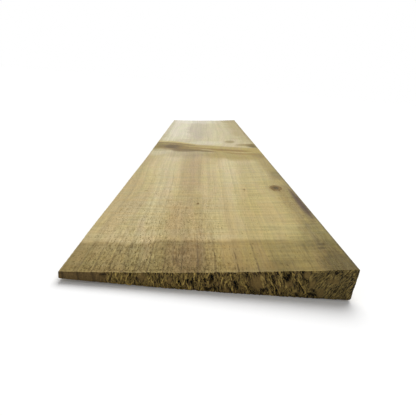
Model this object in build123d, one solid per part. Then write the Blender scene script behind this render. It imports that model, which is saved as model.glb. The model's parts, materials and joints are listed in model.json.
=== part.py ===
from build123d import *
import os
from math import atan2, degrees

# A feather-edge board: one length of sawn softwood that tapers from a thick edge to a thin one.
# It is lightly cupped, so both faces hollow upwards, and it lies on the belly of its back.
# Millimetres. Length along Y, width along X with the thick edge at +X, Z up.

# Driving sizes
length = 600.0
width = 125.0
thick_edge = 15.3
thin_edge = 3.4
cup = 1.1
back_arris_at_thick_edge = 1.1
face_arris_at_thick_edge = 0.5
back_arris_at_thin_edge = 0.4
face_arris_at_thin_edge = 0.3

# The largest share of an edge that one rounded arris may take
arris_limit = 0.4


def board_section():
    """The sawn section: two square edges between a back and a face that are both cupped."""
    half = width / 2
    middle = (thick_edge + thin_edge) / 2
    back_thin, back_thick = Vector(-half, 0), Vector(half, 0)
    face_thin, face_thick = Vector(-half, thin_edge), Vector(half, thick_edge)
    section = make_face(
        [
            ThreePointArc(back_thin, (0, -cup), back_thick),
            Line(back_thick, face_thick),
            ThreePointArc(face_thick, (0, middle - cup), face_thin),
            Line(face_thin, back_thin),
        ]
    )
    for corner, radius, edge in (
        (back_thick, back_arris_at_thick_edge, thick_edge),
        (face_thick, face_arris_at_thick_edge, thick_edge),
        (back_thin, back_arris_at_thin_edge, thin_edge),
        (face_thin, face_arris_at_thin_edge, thin_edge),
    ):
        arris = section.vertices().sort_by_distance(corner)[0]
        section = fillet(arris, min(radius, arris_limit * edge))
    return section


def lean_at_rest(board):
    """Degrees that the board rolls towards its thick edge, to hang below the centre of its cup."""
    half = width / 2
    cup_radius = (half**2 + cup**2) / (2 * cup)
    weight = board.center(CenterOf.MASS)
    return degrees(atan2(weight.X, cup_radius - cup - weight.Z))


def laid_down(board):
    """The board rolled to where it rests and centred over the origin, with its belly on the ground."""
    rolled = Rot(Y=lean_at_rest(board)) * board
    box = rolled.bounding_box()
    middle = box.center()
    return Pos(-middle.X, -middle.Y, -box.min.Z) * rolled


board = laid_down(extrude(Plane.XZ * board_section(), amount=length / 2, both=True))
board.label = "featheredge_board"

os.makedirs("parts", exist_ok=True)
export_step(board, "parts/featheredge_board.step")
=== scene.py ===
import json
import math
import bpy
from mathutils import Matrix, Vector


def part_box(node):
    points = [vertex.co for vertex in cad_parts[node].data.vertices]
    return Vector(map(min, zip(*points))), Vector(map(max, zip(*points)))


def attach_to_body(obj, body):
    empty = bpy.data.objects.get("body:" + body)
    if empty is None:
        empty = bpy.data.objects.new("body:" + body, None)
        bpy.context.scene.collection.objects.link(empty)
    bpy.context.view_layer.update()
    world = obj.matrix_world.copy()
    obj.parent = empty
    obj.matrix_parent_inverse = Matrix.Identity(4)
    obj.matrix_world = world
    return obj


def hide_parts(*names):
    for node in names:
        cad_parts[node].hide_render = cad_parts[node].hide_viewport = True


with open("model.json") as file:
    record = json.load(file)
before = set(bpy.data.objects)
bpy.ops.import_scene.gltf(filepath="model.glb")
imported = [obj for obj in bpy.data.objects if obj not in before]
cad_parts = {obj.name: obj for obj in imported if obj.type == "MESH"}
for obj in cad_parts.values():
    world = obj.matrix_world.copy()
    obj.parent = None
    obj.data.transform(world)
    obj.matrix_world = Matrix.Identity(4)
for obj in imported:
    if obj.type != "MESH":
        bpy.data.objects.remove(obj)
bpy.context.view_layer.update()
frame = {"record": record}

from types import SimpleNamespace

import bpy
import numpy as np
from mathutils import Vector

bl_info = {
    "name": "Feather-edge Board",
    "version": (1, 0, 0),
    "blender": (4, 5, 0),
    "location": "View3D > Sidebar > Board",
    "description": "A rough-sawn, treated feather-edge board with growth rings, knots and torn ends",
    "category": "Object",
}

# Places and lengths are in millimetres until a mesh is made. u runs across the board from its middle
# to the thick edge, v along it from the near end, and h up from the chord of its back.
MM = 0.001
NODE = "featheredge_board"
low_corner, high_corner = (np.array(corner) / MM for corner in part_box(NODE))
LENGTH = high_corner[1] - low_corner[1]
MOUNTS = {mount["name"]: mount for mount in frame["record"]["mounts"]}
THICK_EDGE_OUTWARD = MOUNTS["thick_edge"]["axis"]
LEAN = math.atan2(-THICK_EDGE_OUTWARD[2], THICK_EDGE_OUTWARD[0])

# The near end and the far end: place along the board, and the direction from there into it
ENDS = ((0.0, 1), (LENGTH, -1))


def tone(red, green, blue):
    """A colour from 0 to 255 per channel, as the linear numbers that materials take."""
    share = np.array([red, green, blue]) / 255
    return tuple(np.where(share <= 0.04045, share / 12.92, ((share + 0.055) / 1.055) ** 2.4))


def length_value(name, millimetres, description):
    """A property that holds a length."""
    return bpy.props.FloatProperty(
        name=name, description=description, default=millimetres * MM, unit="LENGTH", precision=5
    )


def colour_value(name, colour, description):
    """A property that holds a colour."""
    return bpy.props.FloatVectorProperty(
        name=name, description=description, default=tone(*colour), subtype="COLOR", size=3, min=0, max=1
    )


class BoardShape(bpy.types.PropertyGroup):
    """Sizes of the sawn section and of the relief that the saws left on it."""

    width: length_value("Width", 125, "Width of the back, edge to edge")
    thick_edge: length_value("Thick edge", 15.3, "Height of the thick edge")
    thin_edge: length_value("Thin edge", 3.4, "Height of the thin edge")
    cup: length_value("Cup", 1.1, "Hollow of the back and the face at mid-width")
    back_arris_thick: length_value("Thick back arris", 1.1, "Radius under the thick edge")
    face_arris_thick: length_value("Thick face arris", 0.5, "Radius over the thick edge")
    back_arris_thin: length_value("Thin back arris", 0.4, "Radius under the thin edge")
    face_arris_thin: length_value("Thin face arris", 0.3, "Radius over the thin edge")
    saw_mark_pitch: length_value("Saw mark pitch", 4.4, "Distance between the bandsaw's marks")
    saw_mark_depth: length_value("Saw mark depth", 0.12, "Depth of the bandsaw's marks")
    end_recess: length_value("End recess", 0.35, "How far the end grain lies behind the torn fibre tips")


class WoodColours(bpy.types.PropertyGroup):
    """Colours of the treated softwood."""

    sapwood: colour_value("Sapwood", (189, 172, 129), "Dry treated face")
    # Painted paler away from the near end, partly as painted sheen
    pale_far_and_sheen: colour_value("Pale far and sheen", (204, 195, 168), "Paler face away from the near end")
    damp: colour_value("Damp end", (138, 120, 74), "Stained band at the near end")
    latewood: colour_value("Latewood", (92, 74, 42), "Dark line at the end of each ring")
    end_grain: colour_value("End grain", (112, 91, 54), "Sawn across the fibres")
    torn_fibre: colour_value("Torn fibre", (216, 187, 108), "Fibres pulled out by the saw")
    # Near black: painted shade in the end grain's deepest hollows and between its bundles of fibres, and also
    # the dark of its ring lines by the thin edge and of its rims
    hollow: colour_value("Hollow", (20, 15, 8), "Deepest pits of the end grain")


def in_millimetres(shape):
    """The sizes of a BoardShape in millimetres, and half its width."""
    sizes = SimpleNamespace(**{name: getattr(shape, name) / MM for name in BoardShape.__annotations__})
    sizes.half = sizes.width / 2
    return sizes


# Noise

def scatter(i, j, seed):
    """Repeatable random numbers from 0 to 1 at whole-numbered places: the mixed bits of i, j and seed.

    Each use has a seed of its own, so that no two patterns are alike.
    """
    bits = (i.astype(np.int64) * 374761393 + j.astype(np.int64) * 668265263 + seed * 362437) & 0xFFFFFFFF
    bits = ((bits ^ (bits >> 13)) * 1274126177) & 0xFFFFFFFF
    return (bits ^ (bits >> 16)) / 0xFFFFFFFF


def noise(x, y, seed):
    """Smooth noise from -1 to 1: scattered values on a unit grid, blended by 3t^2 - 2t^3."""
    x, y = np.broadcast_arrays(x, y)
    i, j = np.floor(x), np.floor(y)
    s, t = x - i, y - j
    s, t = s * s * (3 - 2 * s), t * t * (3 - 2 * t)
    low = scatter(i, j, seed) * (1 - s) + scatter(i + 1, j, seed) * s
    high = scatter(i, j + 1, seed) * (1 - s) + scatter(i + 1, j + 1, seed) * s
    return 2 * (low * (1 - t) + high * t) - 1


def rough(x, y, seed):
    """Noise summed over three octaves, each twice as fine and half as strong as the one before."""
    octaves = [(noise(x * 2**k, y * 2**k, seed + k), 0.5**k) for k in range(3)]
    return sum(values * share for values, share in octaves) / sum(share for _, share in octaves)


def step(low, high, x):
    """0 below low, 1 above high, and 3t^2 - 2t^3 between them."""
    t = np.clip((x - low) / (high - low), 0, 1)
    return t * t * (3 - 2 * t)


def bell(middle, breadth, x):
    """1 at the middle, fading on both sides: exp(-d^2), where d is the distance in breadths."""
    return np.exp(-(((x - middle) / breadth) ** 2))


# Section

# How many places across the board stand for its outline, and the steps round an arris of the back
# and of the face
OUTLINE_COLUMNS = 200
BACK_TURNS, FACE_TURNS = 5, 4


def points(*parts):
    """Places from their parts, such as u, v and h, each spread over the others."""
    return np.stack(np.broadcast_arrays(*parts), -1)


def section_lines(shape, u):
    """Heights of the back and the face at u.

    The back is a parabola of the cup's depth and the face adds the taper to it. Near an edge each
    moves inwards by r - sqrt(r^2 - d^2), where d is how far u runs past the start of the arris.
    """
    hollow = -shape.cup * (1 - (u / shape.half) ** 2)

    def rounding(radius, side):
        past = np.clip(side * u - (shape.half - radius), 0, radius)
        return radius - np.sqrt(radius**2 - past**2)

    back = hollow + rounding(shape.back_arris_thick, 1) + rounding(shape.back_arris_thin, -1)
    taper = (shape.thick_edge - shape.thin_edge) * (u / shape.half / 2 + 0.5)
    face = hollow + shape.thin_edge + taper
    face = face - rounding(shape.face_arris_thick, 1) - rounding(shape.face_arris_thin, -1)
    return back, face


def height_at(shape, u, share):
    """Height at u, a share of the way from the back to the face."""
    back, face = section_lines(shape, u)
    return back + share * (face - back)


def across(shape, thin_arris, thick_arris, columns, turns):
    """Places across the board: even steps, and equal turns round the arris at each edge."""
    turn = np.linspace(0, math.pi / 2, turns + 1)
    thin_end = -shape.half + thin_arris * (1 - np.sin(turn[::-1]))
    thick_end = shape.half - thick_arris * (1 - np.sin(turn))
    middle = np.linspace(thin_end[-1], thick_end[0], columns + 1)[1:-1]
    return np.concatenate([thin_end, middle, thick_end])


def across_back(shape, columns):
    """Places across the board that suit the arrises of its back."""
    return across(shape, shape.back_arris_thin, shape.back_arris_thick, columns, BACK_TURNS)


class Loop:
    """Points round the section, seen from the near end: back, thick edge, face, thin edge.

    u and h are their places, s the distance round the section, and out_u and out_h the outward
    normal, which is the direction of travel turned a quarter to the right.
    """

    def __init__(self, shape, back_u, face_u, thick_rows, thin_rows):
        back, face = section_lines(shape, back_u)[0], section_lines(shape, face_u)[1]
        thick = np.linspace(back[-1], face[-1], thick_rows + 1)[1:-1]
        thin = np.linspace(face[0], back[0], thin_rows + 1)[1:-1]
        thick_u, thin_u = np.full(thick.size, shape.half), np.full(thin.size, -shape.half)
        self.u = np.concatenate([back_u, thick_u, face_u[::-1], thin_u])
        self.h = np.concatenate([back, thick, face[::-1], thin])
        self.count = self.u.size
        along_u = np.roll(self.u, -1) - np.roll(self.u, 1)
        along_h = np.roll(self.h, -1) - np.roll(self.h, 1)
        size = np.hypot(along_u, along_h)
        self.out_u, self.out_h = along_h / size, -along_u / size
        steps = np.hypot(np.diff(self.u), np.diff(self.h))
        self.s = np.concatenate([[0], np.cumsum(steps)])
        self.round = self.s[-1] + np.hypot(self.u[0] - self.u[-1], self.h[0] - self.h[-1])


def rolled(u, h):
    """Places in the section, rolled by the board's lean."""
    return u * math.cos(LEAN) + h * math.sin(LEAN), h * math.cos(LEAN) - u * math.sin(LEAN)


def into_frame(shape, u, v, h):
    """Places in the board's own axes, rolled by its lean and set over the origin as the solid is."""
    outline_u = across_back(shape, OUTLINE_COLUMNS)
    outline_x, outline_z = rolled(np.tile(outline_u, 2), np.concatenate(section_lines(shape, outline_u)))
    x, z = rolled(u, h)
    return points(x - (outline_x.min() + outline_x.max()) / 2, v + low_corner[1], z - outline_z.min())


# Wood

# Where the dark ring lines meet the face at the near end, from the thick edge to the thin one
RING_LINES = (52.5, 43.5, 36, 28.5, 20, 11, 1.2, -6.2, -13, -20.5, -27, -32.5, -37.5, -43.5, -50, -56)
PITH_U, PITH_H = 63.5, 24.0
INNER_RING, OUTER_RING = 3.3, 6.2

# Knots on the face: place across and along, half-width, half-length, how far each turns the grain, darkness
KNOTS = {
    "face knot": (50.8, 118.4, 4.4, 7.4, 5.5, 1.0),
    "edge knot": (57.5, 303, 7.5, 8.0, 5.0, 0.25),
    "hidden knot": (33.3, 335, 5.5, 8.0, 5.0, 0.1),
    "pin knot low": (-6.2, 86, 1.0, 2.0, 1.0, 0.8),
    "pin knot left": (-44.1, 113, 1.0, 2.2, 1.0, 0.3),
    "pin knot middle": (-13.3, 78, 0.8, 2.0, 0.7, 0.2),
    "pin knot right": (27.3, 116.5, 1.0, 2.6, 0.8, 0.45),
    "pin knot edge": (53, 17.3, 1.2, 1.8, 1.2, 0.3),
}

# A branch that the saw split along its length: its middle where u is 0, the slope of that middle and
# where the slope ends, its half-width, and how much that grows towards the thin edge
SPIKE_MIDDLE, SPIKE_SLOPE, SPIKE_LEVEL_U = 287.0, -0.4, -45
SPIKE_HALF, SPIKE_GROWTH = 18.5, 8.5


def spike(u, v):
    """Place across the split branch, wider by the thin edge: -1 at its lower side and 1 at its upper."""
    middle = SPIKE_MIDDLE + SPIKE_SLOPE * np.maximum(u, SPIKE_LEVEL_U)
    return (v - middle) / (SPIKE_HALF + SPIKE_GROWTH * (1 - step(-37, -4, u)))


def grain(u, v):
    """Place across the grain, as if it ran dead straight.

    The fibres fan out in two stretches, wander slowly, bow out past the branch and round each knot and
    turn into the split branch, so u is divided by the fan and moved by the others.
    """
    fan = 1 + 0.12 * step(93, 247, v) + 0.07 * step(347, 573, v)
    straight = u / fan + 1.3 * noise(v / 64 + 3, u / 58, 11) + 0.4 * noise(v / 21, u / 21, 12)
    straight = straight - 5 * bell(430, 85, v) * step(5, 35, u)
    for place_u, place_v, half_u, half_v, push, _ in KNOTS.values():
        across_knot, along_knot = (u - place_u) / (1.9 * half_u), (v - place_v) / (2.6 * half_v)
        near = np.exp(-(across_knot**2) - along_knot**2)
        straight = straight - push * across_knot * near
    turned = bell(0, 1.5, spike(u, v))
    return straight + turned * (4.2 * noise(v / 17, u / 28, 14) + 3.3)


def ring(shape, straight_u, h):
    """Growth rings counted from the pith, from the distance to it in the section."""
    u_lines = np.array(RING_LINES, float)
    radii = np.hypot(PITH_U - u_lines, PITH_H - section_lines(shape, u_lines)[1])
    inner = radii[0] - INNER_RING * np.arange(4, 0, -1)
    outer = radii[-1] + OUTER_RING * np.arange(1, 8)
    radii = np.concatenate([inner, radii, outer])
    return np.interp(np.hypot(PITH_U - straight_u, PITH_H - h), radii, np.arange(radii.size))


def ring_line(rings):
    """1 on the dark late wood that closes each ring, 0 in the pale early wood."""
    share = rings - np.floor(rings)
    return step(0.7, 0.93, share) * (1 - step(0.97, 1.0, share))


def nearest_knot(u, v):
    """Distance to the nearest knot in its own half-widths and half-lengths, and its darkness."""
    nearest, darkness = np.full(np.shape(u + v), 4.0), np.zeros(np.shape(u + v))
    for place_u, place_v, half_u, half_v, _, dark in KNOTS.values():
        distance = np.hypot((u - place_u) / half_u, (v - place_v) / half_v)
        darkness = np.where(distance < nearest, dark, darkness)
        nearest = np.minimum(nearest, distance)
    return nearest, darkness


# Stains that follow the grain of the face: place and half-size across and along, strength, colour
STAINS = {
    "thin side": (-60, 150, 9, 260, 0.4, (166, 148, 104)),
    "brown band near": (-11, 47, 11, 84, 0.5, (166, 142, 98)),
    "brown band middle": (-11, 190, 9, 84, 0.68, (168, 146, 112)),
    "pale strip left": (-32, 175, 8, 190, 0.38, (208, 195, 164)),
    "pale strip right": (19, 170, 6, 130, 0.32, (210, 198, 162)),
    "yellow side": (38, 55, 26, 75, 0.6, (174, 156, 100)),
    "yellow side middle": (42, 190, 15, 110, 0.5, (178, 162, 116)),
    "olive side": (58, 95, 9, 95, 0.9, (146, 130, 84)),
    "olive side middle": (56, 225, 10, 75, 0.9, (154, 138, 90)),
    # Partly painted sheen: the far left of the face is painted paler
    "pale far left and sheen": (-34, 490, 23, 165, 0.55, (218, 211, 194)),
    "purple stripe far": (-10, 460, 13, 125, 0.8, (182, 170, 150)),
    "tan stripe far": (4, 455, 6.5, 95, 0.55, (186, 175, 148)),
    "tan far": (26, 465, 13, 150, 0.5, (184, 170, 134)),
    "buff side far": (50, 485, 20, 165, 0.9, (168, 152, 112)),
}

# Spots that don't follow the grain, in the same way
SPOTS = {
    "golden patch": (13, 17, 14, 14, 0.5, (208, 182, 124)),
    "tan near left": (-27, 62, 9, 42, 0.3, (178, 154, 104)),
    "purple near": (-9, 14, 9, 15, 0.35, (168, 142, 112)),
    "olive patch": (56, 33, 11, 17, 0.6, (136, 124, 78)),
    "olive corner": (57, 3, 8.5, 13, 0.65, (103, 95, 58)),
    # A darker spot on the face just above the deepest hollow of the near end
    "dark over hollow": (31, 5, 6, 6, 0.35, (122, 106, 66)),
    "shadow at the knot": (59, 157, 4.5, 13, 0.5, (116, 106, 74)),
    "knot halo": (52, 105, 5.0, 11, 0.2, (150, 130, 82)),
    "yellow over knot": (51, 134, 9, 9, 0.55, (174, 160, 106)),
    "tan thin side": (-58, 232, 9, 38, 0.3, (160, 140, 98)),
    "dark edge": (58.8, 84, 2.4, 36, 0.5, (122, 104, 70)),
    "purple strip": (59.8, 84, 1.5, 28, 0.95, (80, 62, 50)),
    "thick arris line": (62.8, 120, 1.2, 225, 0.8, (86, 72, 38)),
    "long tear": (53.9, 24, 0.8, 16, 0.35, (104, 90, 56)),
    "upper tear": (54.1, 24.7, 2.2, 0.9, 0.6, (92, 78, 48)),
    "lower tear": (53.1, 20.9, 2.4, 0.9, 0.6, (92, 78, 48)),
    "grey smudge": (54.8, 47.8, 1.9, 3.6, 0.5, (122, 106, 74)),
    "small tear": (45.3, 21, 1.2, 5.5, 0.45, (110, 96, 62)),
    "purple spot": (57.4, 231, 2.8, 7, 0.75, (112, 86, 78)),
    "pale under branch": (-57, 259, 13, 17, 0.45, (200, 190, 168)),
    "shade under branch": (-17, 252, 28, 22, 0.5, (156, 140, 112)),
    "tan under branch": (3, 222, 13, 24, 0.5, (178, 158, 114)),
    "brown under branch": (-8, 243, 12, 6, 0.35, (150, 132, 104)),
    "yellow patch": (35, 246, 35, 28, 0.82, (156, 137, 82)),
    "olive under branch": (60, 249, 11, 23, 0.9, (136, 120, 73)),
    "hidden knot": (32.6, 330.5, 6.8, 9.5, 0.6, (134, 115, 70)),
    "pale at branch": (1, 325, 22, 14, 0.5, (212, 204, 182)),
    "shade over branch": (-28, 341, 14, 17, 0.5, (178, 166, 138)),
    "shade left of branch": (-57, 276, 15, 11, 0.55, (158, 143, 106)),
    "edge knot": (61, 297, 11.5, 13.5, 0.95, (97, 83, 38)),
    "edge knot tail": (49, 305, 12, 7, 0.75, (140, 120, 76)),
    "thick side line": (62.5, 440, 3.5, 200, 0.6, (138, 122, 82)),
    "thin side line": (-62.5, 460, 7, 170, 0.35, (160, 146, 112)),
    # Partly painted sheen: the face by the far end is painted paler
    "pale far end and sheen": (-14, 585, 42, 40, 0.32, (222, 218, 211)),
    "buff far corner": (49, 590, 16, 40, 0.5, (158, 144, 106)),
    "far line": (32, 600, 46, 6, 0.7, (142, 122, 84)),
}

# Parts of the split branch: place across the board, place across the branch, half-sizes, strength, colour
BRANCH_PARTS = {
    "wood": (0, 0.0, 120, 1.0, 0.9, (166, 146, 88)),
    "yellow upper line": (-38, 0.95, 42, 0.18, 0.6, (188, 168, 108)),
    "dark upper line": (-40, 0.62, 34, 0.2, 0.75, (124, 105, 66)),
    "olive end": (-61, -0.2, 9, 0.9, 0.7, (118, 102, 60)),
    "upper line": (14, 0.9, 24, 0.22, 0.4, (160, 142, 92)),
    "dark heart": (-39, -0.28, 19, 0.85, 0.75, (116, 97, 62)),
    "darkest heart": (-38.5, -0.3, 12, 0.46, 0.85, (90, 74, 44)),
    "grey heart": (-27, -0.5, 11, 0.5, 0.65, (112, 95, 67)),
    "brown middle": (-13, -0.36, 20, 0.5, 0.75, (140, 117, 68)),
    "dark lower line left": (-23, -1.04, 18, 0.38, 0.85, (116, 97, 62)),
    "dark lower line": (-4, -1.0, 18, 0.27, 0.75, (116, 97, 60)),
    "brown line": (25, -0.3, 25, 0.38, 0.85, (134, 110, 60)),
    "pale lens": (1, -0.55, 7, 0.14, 0.6, (194, 178, 138)),
    "pale lower line": (40, -0.74, 16, 0.13, 0.45, (190, 174, 128)),
    "brown lower line": (39, -1.18, 18, 0.3, 0.75, (146, 123, 70)),
}

# How far the damp end reaches along the board by the thin edge
DAMP_REACH = 27.9


def patch(u, v, place_u, place_v, half_u, half_v, seed):
    """1 inside an ellipse and 0 outside, fading over 0.8 of its radius along a ragged edge."""
    radius = np.hypot((u - place_u) / half_u, (v - place_v) / half_v)
    return 1 - step(0.6, 1.4, radius + 0.25 * rough(u / 6.5, v / 17, seed))


def over(colour, paint, strength):
    """Paint laid over a colour with a strength from 0 to 1 at each point."""
    return colour + (np.array(paint) - colour) * strength[..., None]


def ground(colours, u, v, straight, rings, on_face):
    """Broad colour of the wood: sapwood, paling along the board that is partly painted sheen, under its
    stains, branch and damp end.

    Each stain is a ragged ellipse laid over what lies below it. The damp end multiplies the colour,
    up to an edge that steps from ring to ring.
    """
    base = np.array(colours.sapwood)
    colour = np.broadcast_to(base, u.shape + (3,))
    # Partly painted sheen: the face is painted paler away from the near end
    colour = over(colour, colours.pale_far_and_sheen, 0.75 * step(100, 467, v) * on_face)
    colour = colour * (1 + 0.10 * rough(straight / 6, v / 107, 31))[..., None]
    for place_across, stains, first_seed in ((straight, STAINS, 40), (u, SPOTS, 90)):
        for seed, (*place_and_size, strength, paint) in enumerate(stains.values(), first_seed):
            mask = patch(place_across, v, *place_and_size, seed)
            colour = over(colour, tone(*paint), strength * mask * on_face)
    inside = spike(u, v)
    for seed, (at_u, at_q, half_u, half_q, strength, paint) in enumerate(BRANCH_PARTS.values(), 70):
        wander = 0.16 * rough(u / 20, v / 8, seed)
        radius = np.hypot((u - at_u) / half_u, (inside + wander - at_q) / half_q)
        colour = over(colour, tone(*paint), strength * (1 - step(0.7, 1.25, radius)))
    damp_edge = DAMP_REACH + 3.3 * step(-37, -23, u) + 0.5 * noise(u / 2, v / 3.5, 32)
    damp_edge = damp_edge + 1.6 * (scatter(np.floor(rings), 0 * rings, 5) - 0.5)
    fade = 2.2 + 6 * step(34, 44, u)
    damp = 1 - step(-fade, fade, v - damp_edge)
    wet = 1 - step(0, 23, v + 4 * noise(u / 12, v / 13, 33))
    damp_share = np.array(colours.damp) / base
    colour = colour * (1 + (damp_share - 1) * (0.74 * damp + 0.16 * damp * wet)[..., None])
    return np.clip(colour, 0, 1)


# Relief

def woolly(u, v):
    """Where the saw raised the fibres: over the thin half and by the thick edge of the near end."""
    side = step(-66, -46, u) * (1 - step(-2, 12, u)) + 0.6 * step(44, 54, u)
    return np.clip(0.25 + 0.75 * side * (1 - step(40, 153, v)) + 0.2 * rough(u / 10, v / 20, 21), 0, 1)


def side_relief(shape, loop_u, loop_s, v, rings, on_face):
    """How far the sawn sides stand out from the smooth section, in millimetres.

    The sum of the bandsaw's marks (a cosine along v whose phase and depth wander), the proud late
    wood, raised fibres, slow waves and the hump and furrows of the branch. Away from the face only
    hollows are kept, so that the board stays within its outline.
    """
    phase = 0.5 + v / shape.saw_mark_pitch + 0.6 * noise(v / 45, 0 * v, 22) + 0.02 * loop_u
    marks = (0.5 + 0.5 * np.cos(2 * math.pi * phase)) ** 3
    marks = marks * (0.45 + 0.55 * step(-0.5, 0.6, noise(v / 60, loop_u / 45, 23)))
    fine = noise(v / 1.4, loop_s / 22, 24)
    late_wood = (0.09 - 0.06 * step(15, 60, v)) * ring_line(rings)
    raised = woolly(loop_u, v) * rough(loop_s / 1.5, v / 3.2, 25)
    waves = noise(v / 70, loop_s / 50, 26)
    knots = 1 - step(0.8, 1.25, nearest_knot(loop_u, v)[0])
    branch = 1 - step(0.75, 1.1, np.abs(spike(loop_u, v)))
    relief = 0.03 * fine + late_wood + 0.1 * raised + 0.12 * waves - shape.saw_mark_depth * marks
    relief = relief + 0.22 * knots * (1 + 0.5 * rough(loop_u / 1.5, v / 2, 27))
    relief = relief + 0.2 * branch * rough(v / 5, loop_u / 22, 28)
    relief = relief - 0.12 * bell(-27, 18, loop_u) * (1 - step(40, 160, v))
    relief = np.minimum(relief, 0.1 * (shape.half - 1.2 - loop_u))
    hidden = np.minimum(relief * step(0, 9, v) * step(0, 9, LENGTH - v) - 0.05, -0.035)
    return np.where(on_face > 0.5, relief, hidden)


# Hollows that the cross-cut saw tore in the near end: place across, share of the height there, half-width,
# half-height, how much the top leans towards the thin edge, and depth
NEAR_HOLLOWS = (
    (-44.3, 0.74, 1.6, 0.6, 0.0, 0.5),
    (-39.1, 0.38, 0.5, 0.7, 0.0, 1.0),
    (-37.6, 0.42, 0.4, 0.8, 0.2, 0.9),
    (-33.0, 0.62, 0.5, 1.7, 0.0, 1.2),
    (-29.0, 0.12, 1.8, 0.5, 0.0, 0.6),
    (-24.1, 0.80, 0.5, 0.8, 0.3, 0.8),
    (-22.3, 0.66, 0.5, 0.9, 0.3, 0.8),
    (-20.6, 0.45, 0.4, 1.8, 0.2, 0.8),
    (-12.7, 0.45, 0.6, 1.5, 0.4, 1.3),
    (-11.4, 0.12, 0.9, 0.7, 0.3, 1.1),
    (-9.2, 0.50, 0.6, 1.8, -0.3, 1.3),
    (-7.0, 0.42, 0.8, 2.2, 0.2, 1.4),
    (-5.3, 0.62, 0.4, 1.0, 0.0, 0.9),
    (-1.9, 0.62, 0.8, 0.8, 0.0, 1.2),
    (-0.6, 0.12, 0.9, 0.8, 0.4, 1.0),
    (0.9, 0.70, 0.8, 2.0, 0.1, 1.3),
    (2.6, 0.20, 1.1, 1.2, 0.3, 1.2),
    (9.8, 0.78, 0.6, 1.2, 0.4, 1.0),
    (11.4, 0.42, 0.9, 2.3, 0.35, 1.3),
    (17.0, 0.28, 0.4, 2.0, 0.75, 0.9),
    (23.5, 0.22, 0.7, 0.8, 0.0, 0.9),
    (26.8, 0.66, 0.5, 2.4, 0.65, 1.1),
    (28.6, 0.26, 1.1, 1.8, 0.5, 1.5),
    (32.6, 0.84, 2.1, 2.3, 0.0, 1.9),
    (36.6, 0.62, 0.4, 2.2, 0.65, 1.0),
    (39.2, 0.42, 0.5, 2.0, 0.7, 1.1),
    (43.4, 0.14, 1.4, 0.7, 0.4, 1.1),
    (46.0, 0.10, 1.2, 0.6, 0.0, 1.0),
    (52.8, 0.92, 0.6, 0.9, -0.3, 0.8),
    (54.5, 0.30, 0.5, 1.0, -0.4, 0.7),
    (57.5, 0.80, 0.5, 1.2, -0.3, 0.7),
)

# The far end's hollows: how many, their seed, and the least and the most of each number above
FAR_HOLLOW_COUNT, FAR_HOLLOW_SEED = 34, 3
FAR_HOLLOW_LEAST = (-44, 0.1, 0.4, 0.6, 0.0, 0.7)
FAR_HOLLOW_MOST = (58, 0.9, 1.2, 2.0, 0.6, 1.4)

# Patches of the near end that the saw left smooth: place across, share of the height, half-width, half-height
CALM_PATCHES = (
    (-55, 0.5, 10, 3),
    (-28, 0.6, 1.8, 1.6),
    (-16.5, 0.5, 1.2, 2.0),
    (7.6, 0.12, 2.0, 1.1),
    (20.6, 0.55, 3.2, 4.0),
    (34.2, 0.5, 2.2, 1.8),
    (40.8, 0.86, 1.6, 2.4),
    (43.8, 0.5, 1.6, 2.6),
    (48.0, 0.2, 2.0, 2.4),
    (52.4, 0.62, 3.0, 1.4),
)

# Leans of the saw's strokes over the ends: by the thick edge, over the thin half, and between these two
STROKE_LEANS = (-0.55, 0.08, 0.5)
LEAN_BY_THICK_EDGE, LEAN_OVER_THIN_HALF, LEAN_BETWEEN = STROKE_LEANS

# First seeds of the noise of the near end and the far end
END_SEEDS = (120, 130)


def hollows(far):
    """The hollows of one end: those listed for the near end, and scattered ones for the far end."""
    if not far:
        return np.array(NEAR_HOLLOWS)
    chance = np.random.default_rng(FAR_HOLLOW_SEED)
    return chance.uniform(FAR_HOLLOW_LEAST, FAR_HOLLOW_MOST, (FAR_HOLLOW_COUNT, 6))


def by_thick_edge(u):
    """0 to 1 across the ends: towards the thick edge their fibres are shorter and lie closer."""
    return step(41, 47, u)


def past_thin_edge(u):
    """0 by the thin edge, where the ends are hardly torn, and 1 over the rest of them."""
    return step(-48, -38, u)


def tornness(shape, u, h, far):
    """How torn an end is, from 0 to 1: little by the thin edge, and not in the calm patches.

    The near end's patches are listed, and the far end's come from noise.
    """
    torn = past_thin_edge(u)
    if far:
        return torn * step(-0.5, 0.1, noise(u / 5, h / 5, 139))
    for at_u, share, half_u, half_h in CALM_PATCHES:
        radius = np.hypot((u - at_u) / half_u, (h - height_at(shape, at_u, share)) / half_h)
        torn = torn * step(0.6, 1.2, radius + 0.2 * rough(u / 1.5, h / 1.5, 138))
    return torn


def bundle_field(u, h, seed):
    """Bundles of fibres from 0 to 1: ridged noise, 1 - |n|, stretched along strokes of three leans.

    Up to mid-width they stand nearly upright, then their tops lean to the thin edge, and near the
    thick edge to that edge, with a slow noise that wears the borders of these three stretches.
    """
    by_edge, upright, between = (
        1 - np.abs(noise((u + lean * h) / 0.75, (h - lean * u) / 2.6, seed + number))
        for number, lean in enumerate(STROKE_LEANS)
    )
    between_share = 1 - step(41, 45, u + 4 * noise(u / 2.6, h / 3.4, seed + 3))
    upright_share = 1 - step(8, 22, u + 5 * noise(u / 4, h / 4, seed + 4))
    slanted = by_edge * (1 - between_share) + between * between_share
    return slanted * (1 - upright_share) + upright * upright_share


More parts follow.
